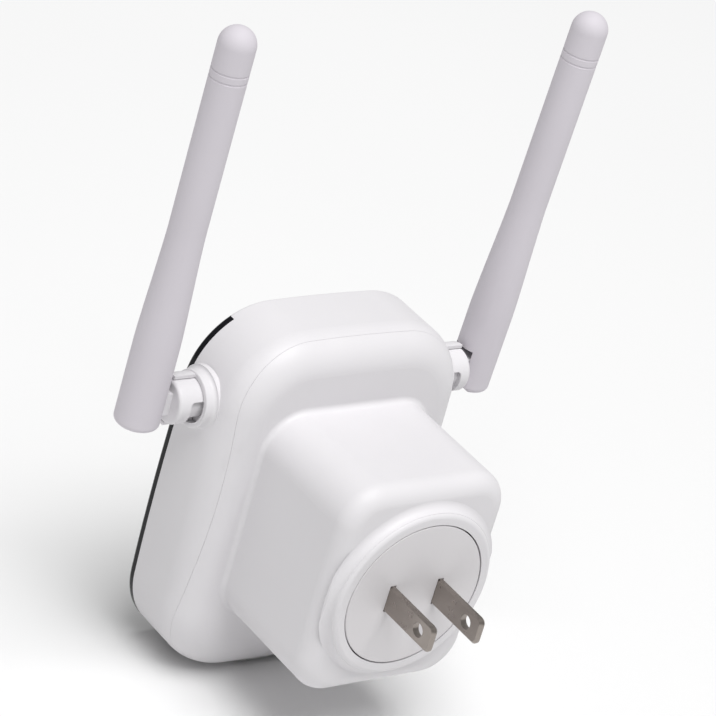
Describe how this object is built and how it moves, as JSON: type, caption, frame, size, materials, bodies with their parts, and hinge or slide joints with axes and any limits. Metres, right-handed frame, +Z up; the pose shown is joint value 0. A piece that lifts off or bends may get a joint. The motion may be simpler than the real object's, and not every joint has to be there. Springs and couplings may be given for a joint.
{
  "type": "wifi range extender",
  "caption": "Plug-in wifi range extender: rounded white body with black front panel, rear plug housing with mains blades, and folding antennas on swivel hinges at its sides.",
  "frame": {"origin": "centre of the plug disc's outer face, on the plug's axis", "axes": "+Y out of the rear along the mains blades, towards the outlet; +Z up along the antennas; +X to the left as seen from behind"},
  "size_m": [0.1014, 0.0707, 0.1524],
  "materials": {
    "casing_white": "satin",
    "disc_white": "satin",
    "panel_gloss": "polished",
    "light_pipe": "clear",
    "antenna_plastic": "soft matte",
    "blade_nickel": "nickel plated",
    "lead_insulation": "smooth",
    "circuit_board": "solder mask",
    "power_laminate": "paper laminate",
    "part_black": "moulded",
    "screw_steel": "zinc plated",
    "ferrite": "sintered",
    "winding_tape": "tape",
    "capacitor_sleeve": "shrink sleeve",
    "resistor_body": "lacquered",
    "shield_steel": "tin plated",
    "led_body": "clear resin",
    "contact_gold": "gold plated",
    "radiator_brass": "drawn",
    "coax_jacket": "smooth"
  },
  "bodies": {
    "housing": {"front_panel": "panel_gloss", "light_guide": "light_pipe", "front_casing": "casing_white", "rear_casing": "casing_white", "plug_disc": "disc_white", "blade_left": "blade_nickel", "blade_right": "blade_nickel", "blade_lead_left": "lead_insulation", "blade_lead_right": "lead_insulation", "main_board": "circuit_board", "power_board": "power_laminate", "board_header": "part_black", "board_screws": "screw_steel", "transformer_core": "ferrite", "transformer_winding": "winding_tape", "bulk_capacitors": "capacitor_sleeve", "output_capacitor": "capacitor_sleeve", "fuse_resistor": "resistor_body", "bridge_rectifier": "part_black", "power_controller": "part_black", "router_chip": "part_black", "memory_chip": "part_black", "ethernet_transformer": "part_black", "rf_shield": "shield_steel", "clock_crystal": "shield_steel", "status_leds": "led_body", "rj45_shell": "shield_steel", "rj45_insert": "part_black", "rj45_contacts": "contact_gold", "wps_switch": "part_black", "reset_switch": "part_black", "coax_left": "coax_jacket", "coax_right": "coax_jacket"},
    "wps_key": {"wps_button": "casing_white"},
    "reset_key": {"reset_button": "part_black"},
    "swivel_left": {"knuckle_left": "casing_white", "knuckle_clip_left": "shield_steel"},
    "antenna_left": {"antenna_sleeve_left": "antenna_plastic", "antenna_cap_left": "antenna_plastic", "hinge_pin_left": "antenna_plastic", "radiator_left": "radiator_brass"},
    "swivel_right": {"knuckle_right": "casing_white", "knuckle_clip_right": "shield_steel"},
    "antenna_right": {"antenna_sleeve_right": "antenna_plastic", "antenna_cap_right": "antenna_plastic", "hinge_pin_right": "antenna_plastic", "radiator_right": "radiator_brass"}
  },
  "joints": [
    {"name": "swivel_left", "type": "hinge", "parent": "housing", "child": "swivel_left", "pos_m": [0.039, -0.0475, 0.0229], "axis": [1, 0, 0], "range_deg": [-90, 90]},
    {"name": "fold_left", "type": "hinge", "parent": "swivel_left", "child": "antenna_left", "pos_m": [0.0453, -0.0488, 0.0229], "axis": [0, 1, 0], "range_deg": [0, 90]},
    {"name": "swivel_right", "type": "hinge", "parent": "housing", "child": "swivel_right", "pos_m": [-0.039, -0.0475, 0.0229], "axis": [1, 0, 0], "range_deg": [-90, 90]},
    {"name": "fold_right", "type": "hinge", "parent": "swivel_right", "child": "antenna_right", "pos_m": [-0.0453, -0.0488, 0.0229], "axis": [0, -1, 0], "range_deg": [-2.2, 87.8]},
    {"name": "wps_press", "type": "slide", "parent": "housing", "child": "wps_key", "axis": [1, 0, 0], "range_m": [0, 0.00035], "stiffness_N_per_m": 3000},
    {"name": "reset_press", "type": "slide", "parent": "housing", "child": "reset_key", "axis": [0, 0, 1], "range_m": [0, 0.0003], "stiffness_N_per_m": 3000}
  ]
}
